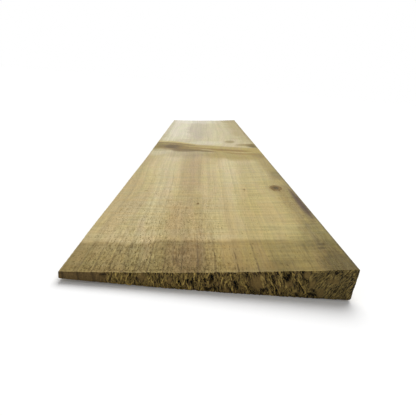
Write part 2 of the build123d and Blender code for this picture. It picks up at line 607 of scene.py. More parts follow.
def end_depth(shape, u, h, far):
    """Depth of the torn end grain behind its tips, in millimetres, from 0 down to about 2.

    The sum of the bundles, a broken groove before each ring line and the deepest of the hollows.
    Each hollow is a leaning ellipse with a ragged edge.
    """
    seed = END_SEEDS[far]
    rings = ring(shape, grain(u, ENDS[far][0]), h)
    share = rings - np.floor(rings)
    torn = tornness(shape, u, h, far)
    depth = 0.05 * (1 + noise(u / 0.9, h / 0.9, seed + 5))
    depth = depth + torn * (0.6 - 0.4 * by_thick_edge(u)) * (1 - bundle_field(u, h, seed))
    groove = step(0.42, 0.58, share) * (1 - step(0.66, 0.78, share)) * step(5, 15, u)
    broken = step(-0.3, 0.3, noise(h / 1.6, rings / 2, seed + 6))
    depth = depth + torn * (0.7 - 0.45 * step(42, 48, u)) * groove * broken
    ragged = 0.3 * rough(u / 0.9, h / 1.4, seed + 8)
    deepest = 0 * u
    for at_u, share, half_u, half_h, lean, deep in hollows(far):
        up = h - height_at(shape, at_u, share)
        radius = np.hypot((u - at_u + lean * up) / half_u, up / half_h) + ragged
        deepest = np.maximum(deepest, deep * (1 - step(0.7, 1.35, radius)))
    return depth + deepest


def end_colours(shape, colours, u, h, rings, depth, torn):
    """Colour of the end grain: brown, golden on the broken ring lines, and black in the hollows as painted
    shade.

    It darkens towards the rims of the back and the thick edge too.
    """
    mottle = (0.22 + 0.16 * step(42, 48, u)) * rough(u / 2.4, h / 2.4, 141)
    colour = np.array(colours.end_grain) * (1 + mottle)[:, None]
    colour = over(colour, tone(138, 114, 62), 0.6 * (1 - torn) * past_thin_edge(u))
    colour = over(colour, tone(108, 97, 54), step(28, 46, u) * (0.25 + 0.35 * torn))
    dotted = ring_line(rings) * step(-0.1, 0.3, noise(h / 0.7, rings / 2, 142)) * step(5, 15, u)
    colour = over(colour, colours.hollow, 0.5 * ring_line(rings) * (1 - past_thin_edge(u)))
    colour = over(colour, colours.torn_fibre, (0.55 - 0.4 * by_thick_edge(u)) * dotted)
    # Painted shade: the deeper the end grain lies, the nearer to black it is painted
    colour = over(colour, colours.hollow, 0.97 * step(0.3, 0.8, depth))
    from_rim = np.minimum(h - section_lines(shape, u)[0], shape.half - u)
    colour = over(colour, colours.hollow, 0.55 * (1 - step(0.2, 0.9, from_rim)) * step(32, 44, u))
    return np.clip(colour, 0, 1)


# Meshes

def smooth_mesh(name, places, quads, triangles):
    """A mesh from arrays of places in millimetres, quads and triangles, quads first."""
    mesh = bpy.data.meshes.new(name)
    mesh.vertices.add(len(places))
    mesh.vertices.foreach_set("co", (places * MM).astype(np.float32).ravel())
    corners = np.concatenate([quads.ravel(), triangles.ravel()]).astype(np.int32)
    mesh.loops.add(corners.size)
    mesh.loops.foreach_set("vertex_index", corners)
    starts = np.concatenate([4 * np.arange(len(quads)), 4 * len(quads) + 3 * np.arange(len(triangles))])
    mesh.polygons.add(starts.size)
    mesh.polygons.foreach_set("loop_start", starts.astype(np.int32))
    mesh.polygons.foreach_set("use_smooth", np.full(starts.size, True))
    mesh.update(calc_edges=True)
    mesh.validate()
    return mesh


def attach(mesh, name, values):
    """Stores one number, the three of a vector or the four of a colour for each vertex."""
    kinds = {1: ("FLOAT", "value"), 3: ("FLOAT_VECTOR", "vector"), 4: ("FLOAT_COLOR", "color")}
    kind, key = kinds[values.size // len(values)]
    mesh.attributes.new(name, kind, "POINT").data.foreach_set(key, values.astype(np.float32).ravel())


def texture_map(mesh, quad_places, triangle_places):
    """The texture map of a mesh, from the places of each face's corners."""
    places = np.concatenate([quad_places.reshape(-1, 2), triangle_places.reshape(-1, 2)])
    mesh.uv_layers.new(name="OFBake").data.foreach_set("uv", places.astype(np.float32).ravel())


def add_piece(name, mesh, *materials):
    """The object of a finished mesh, at the origin, riding with the board."""
    piece = bpy.data.objects.new(name, mesh)
    bpy.context.scene.collection.objects.link(piece)
    for material in materials:
        mesh.materials.append(material)
    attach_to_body(piece, "root")
    return piece


def zipper(inner_s, outer_s):
    """Triangles between two closed rings that run side by side, each given by its places round the loop.

    The places of both are sorted together. At each one a triangle joins it to the last point passed
    on each ring. Points are numbered through the inner ring and then through the outer one.
    """
    order = np.argsort(np.concatenate([inner_s, outer_s]), kind="stable")
    on_inner = order < inner_s.size
    passed_inner, passed_outer = np.cumsum(on_inner) - 1, np.cumsum(~on_inner) - 1
    last_inner = np.roll(passed_inner, 1) % inner_s.size
    last_outer = np.roll(passed_outer, 1) % outer_s.size
    return np.stack([last_inner, inner_s.size + last_outer, order], -1)


def cells(grid):
    """The four corners of each cell of a grid, in order round the cell."""
    corners = [grid[:-1, :-1], grid[:-1, 1:], grid[1:, 1:], grid[1:, :-1]]
    return np.stack(corners, 2).reshape(-1, 4, *grid.shape[2:])


def closed(numbers):
    """A grid of numbers whose first column is repeated after its last."""
    return np.concatenate([numbers, numbers[:, :1]], 1)


# How finely the skin is cut, and where its first and last rows lie from the ends
FACE_COLUMNS, BACK_COLUMNS, THICK_ROWS, THIN_ROWS = 104, 44, 9, 2
BODY_ROWS = 428
END_COLUMNS, END_ROWS = 330, 24
ROW_INSET = 2.2
DEEPEST_ARRIS_TEAR = 0.45

# The skin's texture map: the sides fill the lower part, and the two ends share a strip above them,
# of which each takes a little less than half
SIDES_SHARE, ENDS_START, ENDS_SHARE = 0.86, 0.872, 0.12
END_WIDTH = 0.49


def row_places():
    """Places of the rows along the board, from about 0.6 mm apart at the near end to 2 mm at the far one."""
    share = np.linspace(0, 1, BODY_ROWS)
    return (ROW_INSET + (LENGTH - 2 * ROW_INSET) * (0.42 * share + 0.58 * share**1.7))[:, None]


def end_rim(shape):
    """Places across the grid of an end, and the loop round its rim."""
    end_u = across_back(shape, END_COLUMNS)
    return end_u, Loop(shape, end_u, end_u, END_ROWS, END_ROWS)


def rim_order(rows, columns):
    """Places in a flattened grid of the points round its rim, in the order of a Loop."""
    numbers = np.arange(rows * columns).reshape(rows, columns)
    return np.concatenate([numbers[0], numbers[1:-1, -1], numbers[-1, ::-1], numbers[-2:0:-1, 0]])


def side_lift(shape, loop, v):
    """How far the sides stand out at each point of a loop, with chips out of the arrises of both ends."""
    rings = ring(shape, grain(loop.u, v), loop.h)
    relief = side_relief(shape, loop.u, loop.s, v, rings, step(0.3, 0.8, loop.out_h))
    chips = step(0.25, 0.9, noise(loop.s / 2.3, v / 300, 91)) * (1 - step(0, 3, np.minimum(v, LENGTH - v)))
    return relief - 0.12 * chips


def stray(shape, u, v, h):
    """How far both long edges stray inwards, fading out towards mid-width.

    The thin edge is hollow halfway along, the thick edge leans in towards the back, and both draw in
    a little towards the far end.
    """
    thin = 0.3 * step(45, 85, v) + 0.75 * bell(260, 115, v) + 0.35 * step(280, 440, v)
    thin = thin + 0.08 * noise(v / 40, 0 * v, 95) * step(30, 120, v)
    thick = 0.2 * step(120, 200, v) + 0.5 * step(280, 460, v)
    leaning = 0.5 * (1 - step(0, shape.thick_edge, h)) * step(shape.half - 8, shape.half, u)
    inner = shape.half / 3
    return thin * step(-inner, -shape.half, u) - thick * step(inner, shape.half, u) - leaning


def skin_sides(shape, body, rows):
    """The sides: loops along the board, as the vertices that board_skin gathers and quads with their map."""
    smooth = points(body.u, rows, body.h)
    moved = smooth + side_lift(shape, body, rows)[..., None] * points(body.out_u, 0, body.out_h)
    numbers = np.arange(rows.size * body.count).reshape(rows.size, body.count)
    on_face = np.tile(step(0.3, 0.8, body.out_h), rows.size)
    side_map = points(rows / LENGTH, SIDES_SHARE * np.append(body.s / body.round, 1))
    depth, on_rim = np.zeros(numbers.size), np.zeros(numbers.size, bool)
    vertices = (smooth.reshape(-1, 3), moved.reshape(-1, 3), on_face, depth, on_rim)
    return vertices, (cells(closed(numbers))[:, ::-1], cells(side_map)[:, ::-1])


def skin_end(shape, end_u, rim, far, start):
    """One end, given in the same way: a grid over the section, sunk behind the tips of its fibres."""
    v_end, inward = ENDS[far]
    up = np.linspace(0, 1, END_ROWS + 1)[:, None]
    smooth = points(end_u, v_end, height_at(shape, end_u, up))
    depth = end_depth(shape, smooth[..., 0], smooth[..., 2], far)
    for edge in (np.s_[[0, -1]], np.s_[:, [0, -1]]):
        depth[edge] = np.minimum(depth[edge], DEEPEST_ARRIS_TEAR)
    moved = smooth.copy()
    moved[..., 1] += inward * (shape.end_recess + depth)
    moved = moved.reshape(-1, 3)
    on_rim = rim_order(*depth.shape)
    moved[on_rim] += side_lift(shape, rim, v_end)[:, None] * points(rim.out_u, 0, rim.out_h)
    numbers = np.arange(depth.size)
    along_map = 0.5 * far + END_WIDTH * (end_u - end_u[0]) / np.ptp(end_u)
    end_map = points(along_map, ENDS_START + ENDS_SHARE * up)
    on_face = np.tile(1.0 * (up == 1), end_u.size).ravel()
    vertices = (smooth.reshape(-1, 3), moved, on_face, depth.ravel(), np.isin(numbers, on_rim))
    quads = cells(start + numbers.reshape(depth.shape))
    return vertices, (quads[:, ::inward], cells(end_map)[:, ::inward])


def skin_strip(body, rim, far, row_v, rim_numbers, row_numbers):
    """The strip between an end's rim and the nearest loop of the sides: triangles with their map."""
    v_end, inward = ENDS[far]
    joined = zipper(rim.s / rim.round, body.s / body.round)
    place_s = np.concatenate([rim.s / rim.round, body.s / body.round])[joined]
    place_s = place_s + (place_s.max(1, keepdims=True) - place_s > 0.5)
    place_v = np.repeat([v_end, row_v], [rim.count, body.count])[joined]
    strip_map = points(place_v / LENGTH, SIDES_SHARE * place_s)
    triangles = np.concatenate([rim_numbers, row_numbers])[joined]
    return triangles[:, ::inward], strip_map[:, ::inward]


def board_skin(shape):
    """One closed skin: loops along the board, and a finer grid over each end joined to them by a zipper.

    Every vertex is a smooth place on the section, moved outwards by the relief there. Beside both
    places come how far it belongs to the face, its depth in an end and whether it lies on the rim.
    """
    face_u = across(shape, shape.face_arris_thin, shape.face_arris_thick, FACE_COLUMNS, FACE_TURNS)
    body = Loop(shape, across_back(shape, BACK_COLUMNS), face_u, THICK_ROWS, THIN_ROWS)
    end_u, rim = end_rim(shape)
    rows = row_places()
    sides = skin_sides(shape, body, rows)
    parts, strips, start = [sides], [], rows.size * body.count
    for far, row in ((False, 0), (True, rows.size - 1)):
        rim_numbers = start + rim_order(END_ROWS + 1, end_u.size)
        row_numbers = row * body.count + np.arange(body.count)
        parts.append(skin_end(shape, end_u, rim, far, start))
        strips.append(skin_strip(body, rim, far, rows[row, 0], rim_numbers, row_numbers))
        start += (END_ROWS + 1) * end_u.size
    vertices, quads = zip(*parts)
    smooth, moved, on_face, depth, on_rim = (np.concatenate(values) for values in zip(*vertices))
    moved[:, 0] += stray(shape, *smooth.T)
    skin = SimpleNamespace(smooth=smooth, moved=moved, on_face=on_face, depth=depth, on_rim=on_rim)
    skin.quads, skin.quad_map = (np.concatenate(values) for values in zip(*quads))
    skin.triangles, skin.triangle_map = (np.concatenate(values) for values in zip(*strips))
    skin.on_end = np.zeros(len(skin.quads) + len(skin.triangles), np.int32)
    skin.on_end[len(sides[1][0]):len(skin.quads)] = 1
    return skin


def build_skin(shape, colours):
    """The board's skin as a mesh with what its materials read, and its two materials' faces."""
    skin = board_skin(shape)
    u, v, h = skin.smooth.T
    mesh = smooth_mesh("sawn_board", into_frame(shape, *skin.moved.T), skin.quads, skin.triangles)
    mesh.polygons.foreach_set("material_index", skin.on_end)
    texture_map(mesh, skin.quad_map, skin.triangle_map)
    edges = np.empty(2 * len(mesh.edges), np.int32)
    mesh.edges.foreach_get("vertices", edges)
    sharp = skin.on_rim[edges.reshape(-1, 2)].all(1)
    mesh.attributes.new("sharp_edge", "BOOLEAN", "EDGE").data.foreach_set("value", sharp)

    straight = grain(u, v)
    rings = ring(shape, straight, h)
    distance, darkness = nearest_knot(u, v)
    torn = np.where(v < LENGTH / 2, tornness(shape, u, h, False), tornness(shape, u, h, True))
    sides = ground(colours, u, v, straight, rings, skin.on_face)
    ends = end_colours(shape, colours, u, h, rings, skin.depth, torn)
    for name, values in {
        "grain": points(straight, v, h),
        "ring": rings,
        "knot": distance,
        "knot_dark": darkness,
        "woolly": woolly(u, v) * skin.on_face,
        "ground": points(*sides.T, 1),
        "torn": torn,
        "end_ground": points(*ends.T, 1),
    }.items():
        attach(mesh, name, values)
    return mesh


# Torn fibres

# Corners of a fibre: four at its root, four at its bend and one at its tip
FIBRE_CORNERS = 9

# How many fibres are tried at random on each end, round the arrises of each end, and on the face
SCATTERED_COUNTS = (4200, 3600)
ARRIS_COUNTS = (420, 300)
FACE_COUNT = 5000
FIBRE_SEED = 7

# The deepest that a scattered fibre is rooted: below it the hollows stay dark and empty
DEEPEST_ROOT = 1.3

# How far in the whiskers of an end are rooted, and how far inside the solid's box every fibre stays
WHISKER_ROOT = 2.2
BOX_MARGIN = 0.28


def at_right_angles(first, second):
    """Directions of length 1 at right angles to two others."""
    crossed = np.cross(first, second)
    return crossed / np.linalg.norm(crossed, axis=1, keepdims=True)


def fibre_mesh(name, roots, bends, tips, widths, shades):
    """Fibres as closed spindles: a square root, a square bend and a pointed tip, joined in one mesh.

    Each square is c + w (a cos t + b sin t) for four quarter turns t, where a and b are the two
    directions at right angles to the fibre.
    """
    count = len(roots)
    along = bends - roots
    along /= np.linalg.norm(along, axis=1, keepdims=True)
    first = at_right_angles(along, np.where(np.abs(along[:, 2:]) > 0.8, [[1.0, 0, 0]], [[0, 0, 1.0]]))
    second = np.cross(along, first)
    turns = np.arange(4)[:, None] * math.pi / 2
    square = (first[:, None] * np.cos(turns) + second[:, None] * np.sin(turns)) * widths[:, None, None] / 2
    corners = [roots[:, None] + square, bends[:, None] + square * 0.85, tips[:, None]]
    places = np.concatenate(corners, 1).reshape(-1, 3)
    around = np.arange(4)
    after = np.roll(around, -1)
    side = points(around, after, after + 4, around + 4)
    tip = points(around + 4, after + 4, 8)
    first_corner = FIBRE_CORNERS * np.arange(count)[:, None, None]
    quads = (np.concatenate([side, [[3, 2, 1, 0]]]) + first_corner).reshape(-1, 4)
    mesh = smooth_mesh(name, places, quads, (tip + first_corner).reshape(-1, 3))

    across_count = math.ceil(math.sqrt(count))
    cell = points(np.arange(count) % across_count, np.arange(count) // across_count)[:, None, None]
    in_cell = np.array([[x, y] for y in (0.1, 0.5) for x in (0.1, 0.3, 0.5, 0.7)] + [[0.5, 0.9]])
    side_map, tip_map = in_cell[side], in_cell[tip]
    side_map[-1, 1:3, 0] += 0.8
    tip_map[-1, 1, 0] += 0.8
    root_map = [[[0.1, 0.02], [0.8, 0.02], [0.8, 0.08], [0.1, 0.08]]]
    quad_map = (np.concatenate([side_map, root_map]) + cell) / across_count
    texture_map(mesh, quad_map, (tip_map + cell) / across_count)
    attach(mesh, "shade", np.repeat(shades, FIBRE_CORNERS))
    attach(mesh, "place", places)
    return mesh


def end_fibres(shape, chance, u, h, turn, length, width, far):
    """Roots, bends, tips and widths of fibres that lie slanted over one end.

    Each starts below the torn surface, comes out at its bend and ends near the plane of the tips,
    within the section. The turn is its angle from upright, and half of the fibres point down.
    """
    v_end, inward = ENDS[far]
    depth = shape.end_recess + end_depth(shape, u, h, far)
    reach = points(-np.sin(turn), 0, np.cos(turn)) * chance.choice([-1, 1], u.size)[:, None]
    reach = reach * length[:, None]
    roots = points(u, v_end + inward * (depth + 0.2), h) - 0.45 * reach
    proud = np.minimum(depth - 0.1, 0.5 * width + chance.uniform(0.0, 0.3, u.size))
    bends = roots + 0.3 * reach
    bends[:, 1] = v_end + inward * (depth - proud)
    tips = roots + reach
    tips[:, 1] = v_end + inward * np.maximum(0.06, depth - proud - chance.uniform(0, 0.3, u.size))
    for places in (roots, bends, tips):
        places[:, 0] = np.clip(places[:, 0], 0.4 - shape.half, shape.half - 0.4)
        back, face = section_lines(shape, places[:, 0])
        places[:, 2] = np.clip(places[:, 2], back + 0.2, face - 0.15)
    return roots, bends, tips, width


def scattered_fibres(shape, chance, far):
    """Fibres all over one end, in the direction of the bundles that they lie on."""
    count = SCATTERED_COUNTS[far]
    u = chance.uniform(1 - shape.half, shape.half - 1.2, count)
    moved = (u < -44) & (chance.random(count) < 0.8)
    u = np.where(moved, chance.uniform(-40, shape.half - 0.6, count), u)
    back, face = section_lines(shape, u)
    h = back + 0.3 + (face - back - 0.6) * chance.random(count)
    torn = bundle_field(u, h, END_SEEDS[far]) * tornness(shape, u, h, far)
    kept = torn > 0.35 + 0.5 * chance.random(count) + 0.2 * by_thick_edge(u)
    kept &= end_depth(shape, u, h, far) < DEEPEST_ROOT
    u, h = u[kept], h[kept]
    lean = np.select([u < 14, u < 43], [LEAN_OVER_THIN_HALF, LEAN_BETWEEN], LEAN_BY_THICK_EDGE)
    turn = np.arctan(lean) + chance.normal(0, 0.16, u.size)
    slim = 1 - 0.35 * by_thick_edge(u)
    length = slim * chance.uniform(0.7, 1.9, u.size)
    return end_fibres(shape, chance, u, h, turn, length, slim * chance.uniform(0.12, 0.3, u.size), far)


# Tufts of strong fibres at the near end: place across, share of the height, length, turn in degrees, fibres
NEAR_TUFTS = (
    (-42.0, 0.45, 2.0, -15, 4),
    (-39.0, 0.75, 1.6, 0, 7),
    (-38.4, 0.5, 2.4, 28, 5),
    (-36.8, 0.5, 2.0, -20, 4),
    (-34.4, 0.55, 2.6, -12, 8),
    (-34.0, 0.08, 1.5, 60, 9),
    (-32.4, 0.10, 1.4, -30, 5),
    (-25.0, 0.55, 2.6, -20, 5),
    (-23.2, 0.3, 2.4, 20, 6),
    (-19.6, 0.45, 3.0, -8, 5),
    (-18.0, 0.5, 3.0, 6, 5),
    (-13.4, 0.55, 3.0, 8, 8),
    (-12.2, 0.2, 1.8, 20, 7),
    (-10.0, 0.75, 2.6, -12, 10),
    (-10.6, 0.4, 2.2, -18, 6),
    (-8.6, 0.22, 2.6, 22, 9),
    (-7.6, 0.12, 2.0, -14, 8),
    (-6.3, 0.85, 1.4, 0, 7),
    (-4.2, 0.5, 2.6, 10, 7),
    (-2.8, 0.12, 1.6, -35, 8),
    (-1.0, 0.78, 2.2, -25, 6),
    (0.0, 0.4, 2.2, 20, 6),
    (5.4, 0.6, 3.0, 4, 7),
    (7.0, 0.45, 3.0, -6, 7),
    (8.4, 0.55, 3.2, 8, 7),
    (10.4, 0.18, 3.4, 14, 12),
    (9.0, 0.8, 2.4, 18, 6),
    (14.6, 0.45, 3.6, 48, 9),
    (16.4, 0.25, 3.2, 30, 7),
    (24.6, 0.85, 2.6, 10, 8),
    (26.0, 0.6, 3.0, 36, 10),
    (27.6, 0.38, 2.6, 36, 8),
    (28.7, 0.14, 2.4, 4, 9),
    (29.8, 0.55, 3.4, 32, 9),
    (34.9, 0.88, 2.2, 26, 9),
    (35.8, 0.7, 2.4, 30, 8),
    (38.0, 0.62, 3.6, 36, 12),
    (40.4, 0.36, 3.6, 36, 11),
    (41.6, 0.2, 2.2, 20, 8),
    (45.5, 0.5, 3.0, -40, 8),
    (47.6, 0.75, 2.6, -42, 7),
    (50.2, 0.35, 2.8, -38, 7),
    (54.2, 0.82, 2.4, -30, 8),
    (56.5, 0.5, 2.6, 40, 6),
    (58.8, 0.3, 2.6, -30, 7),
)


def tuft_fibres(shape, chance):
    """Strong fibres of the near end, scattered about the middle of each tuft and along it."""
    tufts = np.array(NEAR_TUFTS)
    at_u, share, tuft_length, turn, _ = np.repeat(tufts, tufts[:, 4].astype(int), 0).T
    turn = np.radians(turn)
    along = chance.uniform(-0.5, 0.5, turn.size) * tuft_length
    aside = chance.normal(0, 0.16, turn.size)
    back, face = section_lines(shape, at_u)
    h = height_at(shape, at_u, share) + along * np.cos(turn) + aside * np.sin(turn)
    h = np.clip(h, back + 0.15, face - 0.15)
    u = at_u - along * np.sin(turn) + aside * np.cos(turn)
    slim = 1 - 0.4 * by_thick_edge(u)
    length = slim * chance.uniform(1.0, 2.2, turn.size)
    turn = turn + chance.normal(0, 0.12, turn.size)
    return end_fibres(shape, chance, u, h, turn, length, slim * chance.uniform(0.28, 0.5, turn.size), False)


def face_fibres(shape, chance):
    """Fibres that the bandsaw raised on the face, most where it is woolly."""
    u = chance.uniform(2 - shape.half, shape.half - 4, FACE_COUNT)
    v = 2.5 + 195 * chance.random(FACE_COUNT) ** 2.2
    kept = chance.random(FACE_COUNT) < woolly(u, v) * 1.1
    u, v = u[kept], v[kept]
    h = section_lines(shape, u)[1]
    length = chance.uniform(0.7, 2.2, u.size)
    side = chance.normal(0, 0.25, u.size)
    forward = chance.choice([-1, 1], u.size)
    lift = chance.uniform(0.1, 0.3, u.size)
    slope = (shape.thick_edge - shape.thin_edge) / shape.width
    reach = points(side, forward, slope * side) * length[:, None]
    roots = points(u, v, h - 0.25)
    bends = roots + 0.5 * reach + points(0, 0, 0.25 + lift)
    tips = roots + reach + points(0, 0, 0.2 + 0.6 * lift)
    return roots, bends, tips, chance.uniform(0.1, 0.2, u.size)


def arris_fibres(shape, chance, far):
    """Whiskers left round the arrises of one end."""
    (v_end, inward), count = ENDS[far], ARRIS_COUNTS[far]
    rim = end_rim(shape)[1]
    at = chance.integers(0, rim.count, count)
    u, h = rim.u[at] - 0.3 * rim.out_u[at], rim.h[at] - 0.3 * rim.out_h[at]
    length = chance.uniform(0.4, 1.1, count)
    sway_u, sway_h = chance.normal(0, 0.5, (2, count))
    bend_v = v_end + inward * chance.uniform(0.7, 1.1, count)
    tip_v = v_end + inward * chance.uniform(0.05, 0.5, count)
    roots = points(u, v_end + inward * WHISKER_ROOT, h)
    bends = points(u + 0.2 * sway_u, bend_v, h + 0.1 * sway_h)
    tips = points(u + 0.6 * sway_u * length, tip_v, h + 0.15 * sway_h)
    return roots, bends, tips, chance.uniform(0.12, 0.26, count)


def build_fibres(shape):
    """All torn and raised fibres of the board as one mesh.

    Each group of roots, bends, tips and widths has a least brightness and a spread, and above 1 a
    fibre takes the face's colours.
    """
    chance = np.random.default_rng(FIBRE_SEED)
    groups, brightness, spread = zip(
        (tuft_fibres(shape, chance), 0.55, 0.45),
        (scattered_fibres(shape, chance, False), 0.0, 0.7),
        (scattered_fibres(shape, chance, True), 0.0, 0.7),
        (arris_fibres(shape, chance, False), 0.1, 0.6),
        (arris_fibres(shape, chance, True), 0.1, 0.6),
        (face_fibres(shape, chance), 1.0, 1.0),
    )
    roots, bends, tips, widths = (np.concatenate(values) for values in zip(*groups))
    counts = [len(group[0]) for group in groups]
    least = np.repeat(brightness, counts)
    shades = least + np.repeat(spread, counts) * chance.random(widths.size)
    shades = np.where(least < 1, shades * (1 - 0.5 * by_thick_edge(roots[:, 0])), shades)
    placed = [into_frame(shape, *places.T) for places in (roots, bends, tips)]
    inside = [np.clip(places, low_corner + BOX_MARGIN, high_corner - BOX_MARGIN) for places in placed]
    return fibre_mesh("torn_fibres", *inside, widths, shades)


# Materials

class Nodes:
    """The nodes of a material or of the world."""

    def __init__(self, tree):
        self.tree = tree

    def fill(self, socket, value):
        """An input linked to a Value, or set to a constant."""
        if isinstance(value, Value):
            self.tree.links.new(value.socket, socket)
        else:
            socket.default_value = value

    def node(self, kind, inputs=(), **settings):
        """A node with its settings, and its inputs by place."""
        added = self.tree.nodes.new(kind)
        for name, setting in settings.items():
            setattr(added, name, setting)
        for place, value in dict(inputs).items():
            self.fill(added.inputs[place], value)
        return added

    def value(self, kind, inputs=(), output=0, **settings):
        """What one output of a new node gives."""
        return Value(self, self.node(kind, inputs, **settings).outputs[output])

    def attribute(self, name, output="Fac"):
        """What the mesh stores under a name."""
        return self.value("ShaderNodeAttribute", output=output, attribute_name=name)

    def noise(self, place, sizes, detail=3.0, roughness=0.55, distortion=0.0):
        """Noise from 0 to 1 whose features have the given sizes along each direction."""
        inputs = {"Vector": place.tinted([1 / size for size in sizes]), "Scale": 1.0}
        inputs.update({"Detail": detail, "Roughness": roughness, "Distortion": distortion})
        return self.value("ShaderNodeTexNoise", inputs)

    def mix(self, share, first, second):
        """Two colours mixed, each a Value or three numbers."""
        first, second = (colour if isinstance(colour, Value) else (*colour, 1) for colour in (first, second))
        return self.value("ShaderNodeMix", {0: share, 6: first, 7: second}, 2, data_type="RGBA")

    def blend(self, share, first, second):
        """Two numbers mixed."""
        return self.value("ShaderNodeMix", {0: share, 2: first, 3: second}, data_type="FLOAT")


class Value:
    """A number, place or colour that one node gives and others take, so that sums read as sums."""

    def __init__(self, nodes, socket):
        self.nodes, self.socket = nodes, socket

    def math(self, operation, *others):
        """This number and others, put through one operation."""
        return self.nodes.value("ShaderNodeMath", enumerate([self, *others]), operation=operation)

    def __add__(self, other):
        return self.math("ADD", other)

    def __sub__(self, other):
        return self.math("SUBTRACT", other)

    def __mul__(self, other):
        return self.math("MULTIPLY", other)

    def ramp(self, low, high, start=0.0, end=1.0):
        """Start below low, end above high, and a smooth step between them."""
        inputs = {0: self, 1: low, 2: high, 3: start, 4: end}
        return self.nodes.value("ShaderNodeMapRange", inputs, interpolation_type="SMOOTHSTEP")

    def tinted(self, factors):
        """This colour or place, each of its parts times its own factor."""
        return self.nodes.value("ShaderNodeVectorMath", {0: self, 1: factors}, operation="MULTIPLY")

    def brightened(self, factor):
        """This colour times a number."""
        return self.nodes.value("ShaderNodeVectorMath", {0: self, 3: factor}, operation="SCALE")

    def parts(self):
        """The three numbers of this place."""
        separate = self.nodes.node("ShaderNodeSeparateXYZ", {0: self})
        return [Value(self.nodes, socket) for socket in separate.outputs]


class Finish(Nodes):
    """One material."""

    def __init__(self, name):
        self.material = bpy.data.materials.new(name)
        self.material.use_nodes = True
        super().__init__(self.material.node_tree)
        self.inputs = self.tree.nodes["Principled BSDF"].inputs

    def bump(self, height, millimetres):
        """A bump of so many millimetres, on the shader's normal."""
        inputs = {"Height": height, "Distance": millimetres * MM, "Strength": 1.0}
        self.fill(self.inputs["Normal"], self.value("ShaderNodeBump", inputs))

    def paint(self, colour, roughness, specular):
        """The shader's colour and roughness, and its constant specular level."""
        self.fill(self.inputs["Base Color"], colour)
        self.fill(self.inputs["Roughness"], roughness)
        self.inputs["Specular IOR Level"].default_value = specular
        return self.material


# A knot's colours, halo to heart: up to how many radii each is whole, where it ends, strength, colour
KNOT_LAYERS = (
    (0.85, 1.6, 0.6, (146, 126, 78)),
    (0.85, 1.08, 0.9, (112, 88, 42)),
    (0.2, 0.7, 0.85, (62, 50, 14)),
)


def sawn_face_finish(colours):
    """Bandsawn softwood: streaks and fibres along the grain, ring lines, saw lines, woolly specks, knots."""
    finish = Finish("sawn_face")
    place = finish.attribute("grain", "Vector")
    across_board, along, _ = place.parts()
    woolly_share = finish.attribute("woolly")

    streaks = finish.noise(place, (1.6, 110, 1.6), 4)
    fibres = finish.noise(place, (0.5, 9, 0.5))
    along_specks = finish.noise(place, (0.75, 5.5, 0.75), 2, 0.7)
    across_specks = finish.noise(place, (2.6, 1.1, 2.6), 2, 0.7)
    specks = (across_specks * 0.5 + along_specks) * 0.9 - 0.175
    cracks = finish.noise(place, (1.1, 7, 1.1), 1).ramp(0.3, 0.4, 1, 0)
    saw_lines = finish.noise(place, (26, 1.5, 26), 2, 0.5, 0.3)
    saw_bands = finish.noise(place, (45, 5, 45), 2)
    dashes = finish.noise(place, (3, 7, 3), 2)
    mottles = finish.noise(place, (9, 40, 9), 2)
    clumps = finish.noise(place, (1.8, 5, 1.8), 2)
    calm = across_board.ramp(22, 38, 1, 0.45)

    wobble = finish.noise(place, (4, 3, 4), 1) * 0.1 + finish.attribute("ring")
    share = (wobble - 0.05).math("FRACT")
    line = share.ramp(0.88, 0.95) * share.ramp(0.97, 1.0, 1, 0)
    near_line = along.ramp(6, 36, 0.68, 0.1) * dashes.ramp(0.46, 0.6, 0.15, 1)
    torn_line = woolly_share * along.ramp(10, 44, 0.4, 0.0) + near_line
    line_strength = torn_line * along.ramp(130, 260, 1, 0.15) * across_board.ramp(-48, -36, 0.5, 1) * calm
    late = share.ramp(0.3, 0.9) * along.ramp(110, 260, -0.075, -0.03)
    saw_strength = along.ramp(120, 280, 0.07, 0.014) * mottles.ramp(0.35, 0.6, 0.5, 1.2)
    saw_strength = saw_strength * across_board.ramp(22, 38, 1, 1.5)
    wool = specks.ramp(0.32, 0.66, -0.3, 0.18) - cracks * 0.3 + clumps.ramp(0.35, 0.65, -0.1, 0.1)
    wool = wool * woolly_share * along.ramp(20, 34, 1, 0.5)

    factor = streaks.ramp(0.25, 0.75, 0.9, 1.1) * (late * calm + 1.03)
    factor = factor * (fibres.ramp(0.25, 0.75, -0.07, 0.06) * calm + 1.0)
    factor = factor * (saw_lines.ramp(0.32, 0.68, -1, 1) * saw_strength + 1.0) * (wool + 1.0)
    colour = finish.attribute("ground", "Color").brightened(factor)
    for strength, tint in (
        (wool.ramp(0.0, -0.3), (1.03, 0.97, 0.82)),
        (saw_bands.ramp(0.35, 0.65) * along.ramp(150, 330, 0.8, 0.15), (1.04, 0.985, 0.9)),
        (mottles.ramp(0.4, 0.6), (0.97, 1.01, 0.94)),
    ):
        colour = finish.mix(strength, colour, colour.tinted(tint))
    colour = finish.mix(line * line_strength, colour, colours.latewood)

    knot = finish.attribute("knot") + specks.ramp(0.2, 0.8, -0.16, 0.16)
    dark = finish.attribute("knot_dark")
    for whole, end, strength, paint in KNOT_LAYERS:
        colour = finish.mix(knot.ramp(whole, end, strength, 0) * dark, colour, tone(*paint))

    finish.bump(fibres * 0.5 + specks * woolly_share + streaks * 0.4 + saw_lines * 0.35, 0.4)
    return finish.paint(colour, streaks.ramp(0.3, 0.7, 0.76, 0.88), 0.28)


